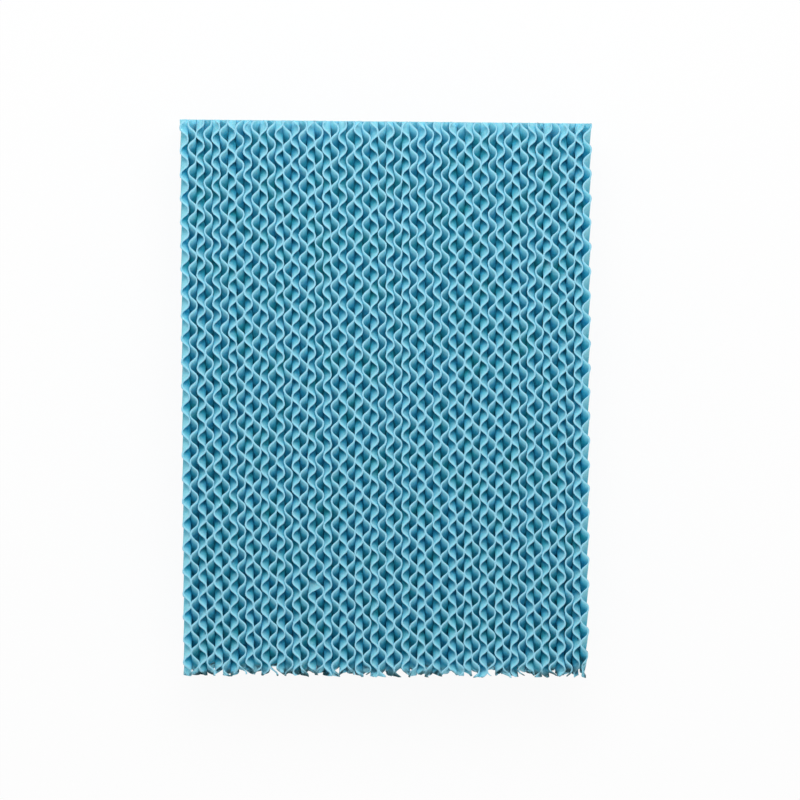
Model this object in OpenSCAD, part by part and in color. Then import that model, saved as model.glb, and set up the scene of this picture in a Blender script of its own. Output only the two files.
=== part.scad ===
// Evaporative cooling pad: corrugated paper sheets stood side by side and glued crest to crest,
// with the flutes of neighbouring sheets crossing. The block is sawn to size on all sides.
// It lies on its back face: X runs across the sheets, Y along the pad's height, Z through its depth.

/* [Pad] */
// Number of sheets glued side by side across the width
sheet_count = 52; // [4:1:60]
// Height of the pad, along the sheets
pad_h = 498; // [120:1:900]
// Depth of the pad, from the back face to the front face
pad_d = 100; // [40:5:200]

/* [Corrugation] */
// Height of a flute over the paper, which is also the distance from sheet to sheet
flute_h = 7; // [5:0.5:9]
// Length of one wave, measured across the flutes
flute_pitch = 15; // [13:0.5:20]
// Radius of the paper's middle surface over each crest
crest_r = 2.8; // [2:0.1:3.2]
// Angle of the soft fold where a crest's arc meets a flank
fold_angle = 10; // [6:1:16]
// Angle between the flutes and the way through the pad
flute_angle = 45; // [30:1:55]
// Thickness of the resin-stiffened paper
paper_t = 0.4; // [0.3:0.05:0.9]

/* [Making tolerances] */
// Angle by which the saw missed the middle between the two flute directions, on the front and back
saw_skew = -0.9; // [-2:0.1:2]
// Angle by which the two ends are sawn out of square
end_skew = 0.55; // [-2:0.05:2]
// Largest angle by which one sheet was laid off true
lay_wander = 0.5; // [0:0.1:1.5]

/* [Hidden] */
pad_w = sheet_count * flute_h;
// What is sawn off all round: the sheets are made larger than the pad by at least this much
trim_allowance = 2;
// The saw runs past the pad on each side, and rises or drops by this much on its way from the middle
saw_reach = pad_w / 2 + trim_allowance;
saw_rise = saw_reach * tan(end_skew);
// Crests of the paper's middle surface lie this far above and below the middle of the sheet
crest_level = (flute_h - paper_t) / 2;
arc_centre = crest_level - crest_r;
// A flank crosses the middle of the sheet a quarter of a wave from the crest, and meets its arc at the fold
quarter_wave = flute_pitch / 4;
flank_angle = atan2(arc_centre, quarter_wave)
    + asin(crest_r * cos(fold_angle) / norm([quarter_wave, arc_centre]));

function sheet_name(i) = str("fluted_sheet_", i < 9 ? "0" : "", i + 1);

// A repeatable scatter from 0 to 1: the sheets are cut from the web wherever the knife falls.
function scatter(i, salt) = let (v = 750 * sin(115 * i + salt)) v - floor(v);
// Share of a wave by which sheet i is shifted across its flutes
function registration(i) = scatter(i, 133);
// The flutes lean one way on one sheet and the other way on the next.
function side(i) = i % 2 == 0 ? 1 : -1;
function lean(i) = side(i) * flute_angle + saw_skew + lay_wander * (2 * scatter(i, 71) - 1);
function sheet_x(i) = (i + 0.5) * flute_h - pad_w / 2;

// All that lies over a crest, at an offset from the paper's middle surface
module over_crest(offset) {
    r = crest_r + offset;
    difference() {
        translate([-quarter_wave, arc_centre + r * cos(flank_angle)]) square([2 * quarter_wave, flute_h]);
        translate([0, arc_centre]) circle(r = r, $fn = 48);
    }
}

// The hollow under a crest: the flanks close over it to a roof, which the crest's arc rounds off
module under_crest() {
    roof = quarter_wave * tan(flank_angle) - paper_t / 2 / cos(flank_angle);
    half_base = (roof + flute_h) / tan(flank_angle);
    difference() {
        polygon([[0, roof], [half_base, -flute_h], [-half_base, -flute_h]]);
        over_crest(-paper_t / 2);
    }
}

// Section of a sheet across its flutes, with a crest in the middle: a blank from which
// the hollows on both sides of the paper are cut, half a wave apart
module wave_section(span) {
    half_waves = ceil(span / flute_pitch) + 1;
    difference() {
        square([span, flute_h + trim_allowance], center = true);
        for (k = [-half_waves : half_waves])
            translate([k * 2 * quarter_wave, 0])
            mirror([0, abs(k) % 2]) {
                over_crest(paper_t / 2);
                under_crest();
            }
    }
}

// The block that the saw leaves, whole: it is wider than the pad, whose sides are the outer sheets
module sawn_block() {
    half_h = pad_h / 2;
    linear_extrude(height = pad_d)
    polygon([
        [-saw_reach, saw_rise - half_h],
        [saw_reach, -saw_rise - half_h],
        [saw_reach, half_h - saw_rise],
        [-saw_reach, half_h + saw_rise]
    ]);
}

// One corrugated sheet, sawn off at the ends and at both faces
module fluted_sheet(i) {
    turn = lean(i);
    raw_h = pad_h + 2 * abs(saw_rise) + 2 * trim_allowance;
    raw_d = pad_d + 2 * trim_allowance;
    span = raw_h * cos(turn) + raw_d * abs(sin(turn)) + 2 * flute_pitch;
    flute_length = raw_h * abs(sin(turn)) + raw_d * cos(turn);
    color("skyblue")
    intersection() {
        sawn_block();
        translate([sheet_x(i), 0, pad_d / 2])
        rotate([turn, 0, 0])
        mirror([1, -1, 0])
        translate([registration(i) * flute_pitch, 0, 0])
        linear_extrude(height = flute_length, center = true) wave_section(span);
    }
}

for (i = [0 : sheet_count - 1])
    fluted_sheet(i);
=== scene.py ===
import math

import bmesh
import bpy
from mathutils import Matrix, Vector, noise


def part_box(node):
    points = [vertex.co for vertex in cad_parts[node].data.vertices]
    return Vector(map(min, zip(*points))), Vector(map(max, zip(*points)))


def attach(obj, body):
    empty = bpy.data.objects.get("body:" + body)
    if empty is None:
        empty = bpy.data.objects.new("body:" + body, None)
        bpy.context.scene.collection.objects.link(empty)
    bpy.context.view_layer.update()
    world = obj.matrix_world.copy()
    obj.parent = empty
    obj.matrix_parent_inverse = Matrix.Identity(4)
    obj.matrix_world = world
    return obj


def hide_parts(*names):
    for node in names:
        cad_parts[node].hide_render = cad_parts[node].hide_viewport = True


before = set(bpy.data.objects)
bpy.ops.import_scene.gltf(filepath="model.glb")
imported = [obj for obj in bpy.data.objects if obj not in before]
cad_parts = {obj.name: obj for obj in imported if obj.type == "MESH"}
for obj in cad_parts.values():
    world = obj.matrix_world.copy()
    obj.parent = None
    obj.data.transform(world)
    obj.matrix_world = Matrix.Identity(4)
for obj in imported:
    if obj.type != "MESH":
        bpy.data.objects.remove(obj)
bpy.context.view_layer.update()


# Fluted sheets: kraft paper soaked in a blue dyed resin, pressed into rounded slanting flutes and
# cured stiff. They stand side by side with the flutes of neighbours crossing, glued crest to crest.
# The block is sawn to size as one, which leaves furred edges, paler partly from their fibres and
# partly as painted light. The faces next to them are painted paler as light falling into the open
# flutes.
flute_height = 0.007
flute_pitch = 0.015
flute_angle = 45
crest_radius = 0.0031
crest_press = 0.0001
fold_angle = math.radians(10)
paper_thickness = 0.0004
pad_height = 0.498
pad_depth = 0.1
saw_skew = -0.9
end_skew = math.radians(0.55)
sheet_nodes = sorted(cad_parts)
sheet_count = len(sheet_nodes)
crest_level = (flute_height - paper_thickness) / 2 + crest_press
arc_centre = crest_level - crest_radius
quarter_wave = flute_pitch / 4
flank_angle = math.atan2(arc_centre, quarter_wave) + math.asin(
    crest_radius * math.cos(fold_angle) / math.hypot(quarter_wave, arc_centre)
)

deep_dye = (0.010, 0.28, 0.49, 1)
light_dye = (0.075, 0.54, 0.74, 1)
green_cast = (0.03, 0.42, 0.50, 1)
# Painted light: the paler tone laid on the faces near every cut, where light falls into the open
# flutes. The scuffs on the outer crests and the bruises take it too.
lit_and_worn_blue = (0.31, 0.74, 0.93, 1)
# The sawn edges are paler than the faces, partly from their frayed fibres and partly as painted
# light: the lit colour of the paper, glowing at its thin edge.
short_fur_and_glow = (0.26, 0.68, 0.89, 1)
long_fur_and_glow = (0.42, 0.83, 0.99, 1)
# Painted shade: the dark colours laid over the lower end of the faces and of the sawn edges.
end_shade_on_paper = (0.026, 0.085, 0.1, 1)
end_shade_on_fur = (0.05, 0.14, 0.16, 1)
paper_gloss = 0.12
# How far from a cut the painted light reaches, and how patchy its edge is.
light_and_wear_reach = 0.008
light_and_wear_patches = 0.006
# How far in from the lower end the painted shade reaches, and where it is full.
end_shade_reach = 0.01
end_shade_full = 0.001


def add_node(tree, kind, place, values=None, **settings):
    made = tree.nodes.new("ShaderNode" + kind)
    made.location = place
    for name, setting in settings.items():
        setattr(made, name, setting)
    for socket, value in (values or {}).items():
        made.inputs[socket].default_value = value
    return made


def new_group(name, inputs, outputs):
    tree = bpy.data.node_groups.new(name, "ShaderNodeTree")
    for socket, kind in inputs:
        tree.interface.new_socket(socket, in_out="INPUT", socket_type="NodeSocket" + kind)
    for socket, kind in outputs:
        tree.interface.new_socket(socket, in_out="OUTPUT", socket_type="NodeSocket" + kind)
    way_in = tree.nodes.new("NodeGroupInput")
    way_in.location = (-900, 0)
    way_out = tree.nodes.new("NodeGroupOutput")
    way_out.location = (900, 0)
    return tree, way_in, way_out


# Both finishes of the paper share its fibres and the painted shade of the lower end.
fibre_group, fibre_in, fibre_out = new_group(
    "Paper fibre",
    [("Place", "Vector")],
    [("Mottle", "Float"), ("Tint", "Float"), ("Fibre", "Float")],
)
for mask, height, grain in (
    ("Tint", 450, {"Scale": 45, "Detail": 2}),
    ("Mottle", 150, {"Scale": 200, "Detail": 4, "Roughness": 0.65}),
    ("Fibre", -150, {"Scale": 1500, "Detail": 2, "Distortion": 1.2}),
):
    texture = add_node(fibre_group, "TexNoise", (-500, height), grain)
    fibre_group.links.new(fibre_in.outputs["Place"], texture.inputs["Vector"])
    fibre_group.links.new(texture.outputs["Fac"], fibre_out.inputs[mask])

# Painted shade: the lower end is darkened in blotches, fully within a millimetre of the end and
# fading out a centimetre in.
end_shade_group, end_shade_in, end_shade_out = new_group(
    "Lower end painted shade",
    [("Place", "Vector"), ("From end", "Float")],
    [("Shade", "Float")],
)
shade_blotches = add_node(end_shade_group, "TexNoise", (-600, 200), {"Scale": 120, "Detail": 3})
end_shade_group.links.new(end_shade_in.outputs["Place"], shade_blotches.inputs["Vector"])
blotch_edge = add_node(end_shade_group, "MapRange", (-300, 200), {"From Min": 0.42, "From Max": 0.57})
end_shade_group.links.new(shade_blotches.outputs["Fac"], blotch_edge.inputs["Value"])
near_lower_end = add_node(
    end_shade_group,
    "MapRange",
    (-300, -200),
    {"From Min": end_shade_reach, "From Max": end_shade_full},
    interpolation_type="SMOOTHSTEP",
)
end_shade_group.links.new(end_shade_in.outputs["From end"], near_lower_end.inputs["Value"])
both = add_node(end_shade_group, "Math", (200, 0), operation="MULTIPLY")
end_shade_group.links.new(blotch_edge.outputs["Result"], both.inputs[0])
end_shade_group.links.new(near_lower_end.outputs["Result"], both.inputs[1])
end_shade_group.links.new(both.outputs["Value"], end_shade_out.inputs["Shade"])


def start_paper(name, end_shade_colour):
    made = bpy.data.materials.new(name)
    made.use_nodes = True
    tree = made.node_tree
    shader = tree.nodes["Principled BSDF"]
    shader.inputs["Specular IOR Level"].default_value = paper_gloss
    place = add_node(tree, "TexCoord", (-1500, 0))
    fibre = add_node(tree, "Group", (-1200, 200), node_tree=fibre_group)
    tree.links.new(place.outputs["Object"], fibre.inputs["Place"])
    from_end = add_node(tree, "Attribute", (-1200, -500), attribute_name="from_lower_end")
    end_shade = add_node(tree, "Group", (-900, -400), node_tree=end_shade_group)
    tree.links.new(place.outputs["Object"], end_shade.inputs["Place"])
    tree.links.new(from_end.outputs["Fac"], end_shade.inputs["From end"])
    # Painted shade over the lower end, mixed over the paper's own colour.
    end_shaded = add_node(tree, "Mix", (-300, 200), {"B": end_shade_colour}, data_type="RGBA")
    tree.links.new(end_shade.outputs["Shade"], end_shaded.inputs["Factor"])
    tree.links.new(end_shaded.outputs["Result"], shader.inputs["Base Color"])
    return made, fibre.outputs, end_shaded.inputs["A"]


def two_tone(tree, mask, dark, light):
    ramp = add_node(tree, "ValToRGB", (-900, 300))
    ramp.color_ramp.elements[0].position = 0.3
    ramp.color_ramp.elements[0].color = dark
    ramp.color_ramp.elements[1].position = 0.7
    ramp.color_ramp.elements[1].color = light
    tree.links.new(mask, ramp.inputs["Fac"])
    return ramp.outputs["Color"]


def roughen(tree, dullness, relief, smoothest, dullest, strength, depth):
    shader = tree.nodes["Principled BSDF"]
    dull = add_node(tree, "MapRange", (-600, -100), {"To Min": smoothest, "To Max": dullest})
    tree.links.new(dullness, dull.inputs["Value"])
    tree.links.new(dull.outputs["Result"], shader.inputs["Roughness"])
    tooth = add_node(tree, "Bump", (-300, -300), {"Strength": strength, "Distance": depth})
    tree.links.new(relief, tooth.inputs["Height"])
    tree.links.new(tooth.outputs["Normal"], shader.inputs["Normal"])


paper, fibre, unshaded_colour = start_paper("blue_paper", end_shade_on_paper)
tree = paper.node_tree
dye = two_tone(tree, fibre["Mottle"], deep_dye, light_dye)
tint_share = add_node(tree, "MapRange", (-900, 550), {"From Min": 0.42, "From Max": 0.72})
tree.links.new(fibre["Tint"], tint_share.inputs["Value"])
tinted = add_node(tree, "Mix", (-750, 350), {"B": green_cast}, data_type="RGBA")
tree.links.new(tint_share.outputs["Result"], tinted.inputs["Factor"])
tree.links.new(dye, tinted.inputs["A"])
# The faces are painted paler near every cut, as painted light falling into the open flutes, so they
# darken deeper in. Scuffs and bruises show the same paler tone.
rim_gap = add_node(tree, "Attribute", (-1200, -200), attribute_name="from_cut")
patchy_gap = add_node(tree, "Math", (-1050, -100), {1: light_and_wear_patches}, operation="MULTIPLY_ADD")
tree.links.new(fibre["Mottle"], patchy_gap.inputs[0])
tree.links.new(rim_gap.outputs["Fac"], patchy_gap.inputs[2])
lit_and_worn_share = add_node(
    tree,
    "MapRange",
    (-900, -100),
    {"From Min": light_and_wear_reach + light_and_wear_patches / 2, "From Max": light_and_wear_patches / 2},
    interpolation_type="SMOOTHSTEP",
)
tree.links.new(patchy_gap.outputs["Value"], lit_and_worn_share.inputs["Value"])
lit_and_worn = add_node(tree, "Mix", (-600, 200), {"B": lit_and_worn_blue}, data_type="RGBA")
tree.links.new(lit_and_worn_share.outputs["Result"], lit_and_worn.inputs["Factor"])
tree.links.new(tinted.outputs["Result"], lit_and_worn.inputs["A"])
tree.links.new(lit_and_worn.outputs["Result"], unshaded_colour)
roughen(
    tree, fibre["Fibre"], fibre["Mottle"], smoothest=0.72, dullest=0.9, strength=0.8, depth=0.0006
)
paper_shader = tree.nodes["Principled BSDF"]
paper_shader.inputs["Subsurface Weight"].default_value = 0.7
paper_shader.inputs["Subsurface Radius"].default_value = (0.7, 1.0, 1.1)
paper_shader.inputs["Subsurface Scale"].default_value = 0.0015

# The sawn edge finish is painted paler: partly its fibres, partly painted light glowing through the
# thin cut paper.
cut_edge, fibre, unshaded_colour = start_paper("sawn_paper_edge", end_shade_on_fur)
tree = cut_edge.node_tree
tree.links.new(two_tone(tree, fibre["Fibre"], short_fur_and_glow, long_fur_and_glow), unshaded_colour)
roughen(
    tree, fibre["Mottle"], fibre["Fibre"], smoothest=0.8, dullest=0.95, strength=0.8, depth=0.0002
)

# The grid that a sheet is pressed from, and how unevenly the sheets were laid
columns_per_wave = 12
depth_rows = 12
lean_salt = 71
lay_wander = 0.5
start_salt = 133
drift_salt = 5.3
drift_scale = 14
lay_drift = 0.0004


# A repeatable scatter from 0 to 1, as in the part's source
def scatter(index, salt):
    value = 750 * math.sin(math.radians(115 * index + salt))
    return value - math.floor(value)


# An unevenness from -1 to 1 that changes smoothly over a sheet
def uneven(index, salt, first, second):
    return noise.noise(Vector((index * salt, first, second)))


def lean_of(index):
    side = 1 if index % 2 == 0 else -1
    wander = lay_wander * (2 * scatter(index, lean_salt) - 1)
    return math.radians(side * flute_angle + saw_skew + wander)


def crest_side(way, offset):
    radius = crest_radius + offset
    flank = (quarter_wave - way) * math.tan(flank_angle) + offset / math.cos(flank_angle)
    if way >= radius * math.sin(flank_angle):
        return flank
    return min(arc_centre + math.sqrt(radius * radius - way * way), flank)


def wave(across, offset):
    way = abs(across - round(across / flute_pitch) * flute_pitch)
    if way <= quarter_wave:
        return crest_side(way, offset)
    return -crest_side(flute_pitch / 2 - way, -offset)


# The rows of the grid lie closer together towards the sawn faces.
def press_flutes(bm, index, middle):
    lean = lean_of(index)
    step = flute_pitch / columns_per_wave
    reach = (pad_height / 2 + pad_depth * math.tan(abs(lean)) / 2) * math.cos(lean) + flute_pitch
    columns = 2 * math.ceil(reach / step)
    start = scatter(index, start_salt) * flute_pitch
    bmesh.ops.create_grid(bm, x_segments=columns, y_segments=depth_rows, size=0.5)
    for vertex in bm.verts:
        across = vertex.co.x * columns * step
        part = vertex.co.y + 0.5
        z = pad_depth * part * part * (3 - 2 * part)
        y = (across + start) / math.cos(lean) - (z - pad_depth / 2) * math.tan(lean)
        drift = lay_drift * uneven(index, drift_salt, y * drift_scale, z * drift_scale)
        vertex.co = (middle + wave(across + drift, paper_thickness / 2), y, z)


def saw_ends(bm):
    for end in (1, -1):
        bmesh.ops.bisect_plane(
            bm,
            geom=bm.verts[:] + bm.edges[:] + bm.faces[:],
            plane_co=(0, end * pad_height / 2, 0),
            plane_no=(end * math.sin(end_skew), end * math.cos(end_skew), 0),
            clear_outer=True,
        )


def give_thickness(bm):
    bmesh.ops.recalc_face_normals(bm, faces=bm.faces)
    if sum(face.normal.x for face in bm.faces) < 0:
        bmesh.ops.reverse_faces(bm, faces=bm.faces)
    outer = set(bm.verts)
    walls = set(bm.faces)
    border = [edge for edge in bm.edges if edge.is_boundary]
    bmesh.ops.solidify(bm, geom=bm.faces[:], thickness=paper_thickness)
    rim = [face for edge in border for face in edge.link_faces if face not in walls]
    return outer, rim


# How the saw furred and frayed the cut edges
edge_flare = 0.0005
tuft_salt = 6.3
tuft_scale = 250
tuft_swing = 0.9
fray_salt = 3.1
fray_scale = 400
saw_fray = 0.0003


# How far a spot lies inside the upper end, 1, or the lower end, -1
def end_gap(spot, end):
    return pad_height / 2 - end * (spot.y + spot.x * math.tan(end_skew))


# The paper spreads to both sides where it is cut, and the saw takes off a little more or less.
def fur_rim(bm, index, outer, rim):
    for face in rim:
        face.material_index = 1
    for front in outer:
        for edge in front.link_edges:
            back = edge.other_vert(front)
            if back in outer:
                continue
            tuft = uneven(index, tuft_salt, front.co.y * tuft_scale, front.co.z * tuft_scale)
            spread = (front.co - back.co).normalized() * edge_flare * (1 + tuft_swing * tuft)
            front.co += spread
            back.co -= spread
    for vertex in {vertex for face in rim for vertex in face.verts}:
        spot = vertex.co
        cuts = (
            (pad_depth - spot.z, Vector((0, 0, 1))),
            (spot.z, Vector((0, 0, -1))),
            (end_gap(spot, 1), Vector((0, 1, 0))),
            (end_gap(spot, -1), Vector((0, -1, 0))),
        )
        gap, outwards = min(cuts, key=lambda cut: abs(cut[0]))
        frayed = uneven(index, fray_salt, spot.y * fray_scale, spot.z * fray_scale)
        vertex.co += (gap - saw_fray * (0.5 + 0.5 * frayed)) * outwards
        vertex.co.z = min(max(vertex.co.z, 0), pad_depth)
        vertex.co.y += min(end_gap(vertex.co, 1), 0) - min(end_gap(vertex.co, -1), 0)


# Where the faces are paler: near every cut, as painted light falling into the open flutes that
# reaches further in from the upper end; on the crests of the two open sides, which are scuffed
upper_end_light_share = 0.55
scuffed_share = 0.45
crest_scuff = 0.0045
scuff_fade = 1.5
rub_salt = 1
rub_scale = 22
crest_rub = 0.0025
crushed_sheets = 3
crushed_shade = 0.7


def from_saw(spot):
    return min(pad_depth - spot.z, spot.z, upper_end_light_share * end_gap(spot, 1), end_gap(spot, -1))


def mark_light_shade_and_wear(bm, index, middle, crushed, outer, cut_layer, end_layer):
    open_side = {0: -1, sheet_count - 1: 1}.get(index, 0)
    for vertex in bm.verts:
        spot = vertex.co
        vertex[cut_layer] = max(from_saw(spot), 0)
        if open_side and (vertex in outer) == (open_side > 0):
            drop = flute_height / 2 - open_side * (spot.x - middle)
            rub = crest_rub * uneven(index, rub_salt, spot.y * rub_scale, spot.z * rub_scale)
            scuff = crest_scuff + rub + scuff_fade * drop
            vertex[cut_layer] = min(scuffed_share * vertex[cut_layer], scuff)
        # from_lower_end carries the painted shade of the lower end, which reaches further in on the
        # crushed last sheets.
        vertex[end_layer] = max(end_gap(spot, -1), 0) * (1 - crushed_shade * crushed)


# What use has done: the lower end is loose and torn, less at its two rims than inside, and crushed
# at the last sheets. A bruise of the front rim has its sheet, place, half length, push and drop.
loose_end = 0.014
torn_depth = 0.008
torn_at_rim = 0.25
torn_mean = 0.4
torn_swing = 2
rip_salt = 4.7
sway_salt = 9.1
loose_sway = 0.0014
tear_scale = 45
sway_scale = 30
crushed_length = 0.04
crushed_share = 0.6
bruise_depth = 0.009
bruises = (
    (16, -0.1666, 0.007, 0.0048, 0.0006),
    (36, 0.0004, 0.0065, -0.003, 0.0008),
    (46, 0.1239, 0.0055, 0.0026, 0.0008),
)


def bend_worn_places(bm, index, middle, crushed, cut_layer):
    for vertex in bm.verts:
        spot = vertex.co.copy()
        lower_gap = end_gap(spot, -1)
        if lower_gap < loose_end:
            slack = 1 - max(lower_gap, 0) / loose_end
            from_face = min(pad_depth - spot.z, spot.z)
            inside = min(1, from_face / loose_end + torn_at_rim)
            rip = uneven(index, rip_salt, spot.z * tear_scale, 0)
            torn = inside * (1 - crushed) * min(max(torn_mean + torn_swing * rip, 0), 1)
            sway = uneven(index, sway_salt, spot.z * tear_scale, spot.y * sway_scale)
            vertex.co.y += torn_depth * torn * slack
            vertex.co.x += loose_sway * sway * slack ** 2
        if lower_gap < crushed_length:
            bend = (1 - lower_gap / crushed_length) ** 2
            vertex.co.x += crushed_share * crushed * (middle - spot.x) * bend
        for sheet, place, length, push, drop in bruises:
            from_place = abs(spot.y - place)
            if sheet != index or from_place > length or spot.z < pad_depth - bruise_depth:
                continue
            give = (1 - (from_place / length) ** 2) ** 2
            vertex[cut_layer] *= 1 - give
            give *= ((spot.z - pad_depth + bruise_depth) / bruise_depth) ** 2
            vertex.co.x += push * give
            vertex.co.z -= drop * give


# The layers come first, because adding one later would lose the vertices that are held.
def make_sheet(index, node):
    low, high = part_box(node)
    middle = (low.x + high.x) / 2
    crushed = max(0, 1 - (sheet_count - 1 - index) / crushed_sheets)
    bm = bmesh.new()
    cut_layer = bm.verts.layers.float.new("from_cut")
    end_layer = bm.verts.layers.float.new("from_lower_end")
    press_flutes(bm, index, middle)
    saw_ends(bm)
    outer, rim = give_thickness(bm)
    fur_rim(bm, index, outer, rim)
    mark_light_shade_and_wear(bm, index, middle, crushed, outer, cut_layer, end_layer)
    bend_worn_places(bm, index, middle, crushed, cut_layer)
    for face in bm.faces:
        face.smooth = True
    bmesh.ops.recalc_face_normals(bm, faces=bm.faces)
    mesh = bpy.data.meshes.new(node.replace("fluted", "paper"))
    bm.to_mesh(mesh)
    bm.free()
    mesh.materials.append(paper)
    mesh.materials.append(cut_edge)
    sheet = bpy.data.objects.new(mesh.name, mesh)
    bpy.context.collection.objects.link(sheet)
    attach(sheet, "root")
    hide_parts(node)


for index, node in enumerate(sheet_nodes):
    make_sheet(index, node)


# Floor and studio light.
# A plain matt white floor under a broad soft lamp and an even pale sky, set so that a colour
# that faces up shows about as it is written.
white_share = 0.92
sky_light = 0.62


def seen_rays(tree):
    path = add_node(tree, "LightPath", (-900, 500))
    mirrored = add_node(tree, "Math", (-600, 500), operation="ADD", use_clamp=True)
    tree.links.new(path.outputs["Is Camera Ray"], mirrored.inputs[0])
    tree.links.new(path.outputs["Is Glossy Ray"], mirrored.inputs[1])
    through = add_node(tree, "Math", (-300, 500), operation="ADD", use_clamp=True)
    tree.links.new(mirrored.outputs["Value"], through.inputs[0])
    tree.links.new(path.outputs["Is Transmission Ray"], through.inputs[1])
    return through.outputs["Value"]


floor_mesh = bpy.data.meshes.new("floor")
bm = bmesh.new()
bmesh.ops.create_grid(bm, x_segments=1, y_segments=1, size=12)
bm.to_mesh(floor_mesh)
bm.free()
floor = bpy.data.objects.new("floor", floor_mesh)
bpy.context.collection.objects.link(floor)
floor_paint = bpy.data.materials.new("floor_paint")
floor_paint.use_nodes = True
tree = floor_paint.node_tree
floor_shader = tree.nodes["Principled BSDF"]
floor_shader.inputs["Base Color"].default_value = (0.95, 0.95, 0.95, 1)
floor_shader.inputs["Roughness"].default_value = 0.9
floor_shader.inputs["Specular IOR Level"].default_value = 0
seen_white = add_node(tree, "MixShader", (300, 300))
glow = add_node(tree, "Emission", (0, 400))
share = add_node(tree, "Math", (0, 600), {1: white_share}, operation="MULTIPLY")
tree.links.new(seen_rays(tree), share.inputs[0])
tree.links.new(share.outputs["Value"], seen_white.inputs["Fac"])
tree.links.new(floor_shader.outputs["BSDF"], seen_white.inputs[1])
tree.links.new(glow.outputs["Emission"], seen_white.inputs[2])
tree.links.new(seen_white.outputs["Shader"], tree.nodes["Material Output"].inputs["Surface"])
floor_mesh.materials.append(floor_paint)

sky = bpy.data.worlds.new("studio_sky")
sky.use_nodes = True
bpy.context.scene.world = sky
tree = sky.node_tree
backdrop = tree.nodes["Background"]
backdrop.inputs["Color"].default_value = (1, 1, 1, 1)
level = add_node(tree, "MapRange", (-300, 0), {"To Min": sky_light, "To Max": 1.0})
tree.links.new(seen_rays(tree), level.inputs["Value"])
tree.links.new(level.outputs["Result"], backdrop.inputs["Strength"])

lamp_data = bpy.data.lights.new("key_lamp", "AREA")
lamp_data.shape = "DISK"
lamp_data.size = 0.8
lamp_data.energy = 8.2
lamp = bpy.data.objects.new("key_lamp", lamp_data)
bpy.context.collection.objects.link(lamp)
lamp.location = (0, 0.7, 1.2)
lamp_aim = Vector((0, 0, pad_depth)) - lamp.location
lamp.rotation_euler = lamp_aim.to_track_quat("-Z", "Y").to_euler()


# Camera.
# It looks almost straight down on the pad's front face, from above its upper left part, so that
# the floor shows through the open flutes along the lower end.
frame_width = 0.7137
frame_middle = Vector((0.0123, 0.0015, pad_depth))
camera_spot = Vector((-0.05, 0.22, pad_depth + 2.5))
camera_data = bpy.data.cameras.new("camera")
camera = bpy.data.objects.new("camera", camera_data)
bpy.context.collection.objects.link(camera)
ahead = (frame_middle - camera_spot).normalized()
aside = ahead.cross(Vector((0, 1, 0))).normalized()
turn = Matrix((aside, aside.cross(ahead), -ahead)).transposed()
camera_data.sensor_width = 36
camera_data.lens = camera_data.sensor_width * (frame_middle - camera_spot).length / frame_width
camera_data.clip_end = 100
camera.matrix_world = Matrix.Translation(camera_spot) @ turn.to_4x4()
bpy.context.scene.camera = camera
bpy.context.scene.view_settings.view_transform = "Standard"
